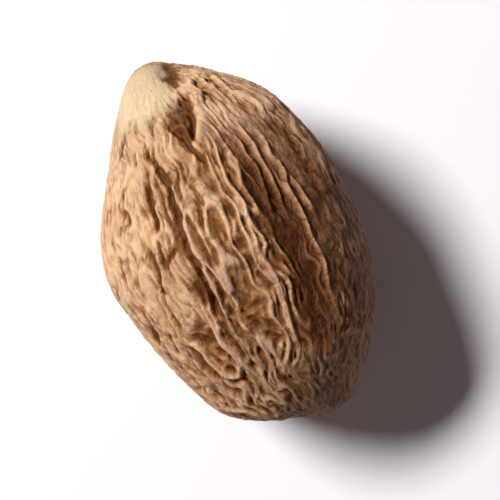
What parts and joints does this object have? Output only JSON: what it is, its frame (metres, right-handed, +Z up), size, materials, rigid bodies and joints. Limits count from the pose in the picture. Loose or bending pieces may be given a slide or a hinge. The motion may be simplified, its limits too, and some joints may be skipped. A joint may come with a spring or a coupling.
{
  "type": "whole nutmeg",
  "caption": "Dried whole nutmeg seed with long wavy wrinkles and a smooth pale scar end, lying on its side.",
  "frame": {"origin": "centre of the underside of the box around the nutmeg, on the surface it rests on", "axes": "+Y along the seed towards the pale scar end, +Z up, +X across it to the right"},
  "size_m": [0.0198, 0.0304, 0.0188],
  "materials": {
    "skin": "dry, matt, wrinkled seed skin"
  },
  "bodies": {
    "root": {"nutmeg": "skin"}
  },
  "joints": []
}
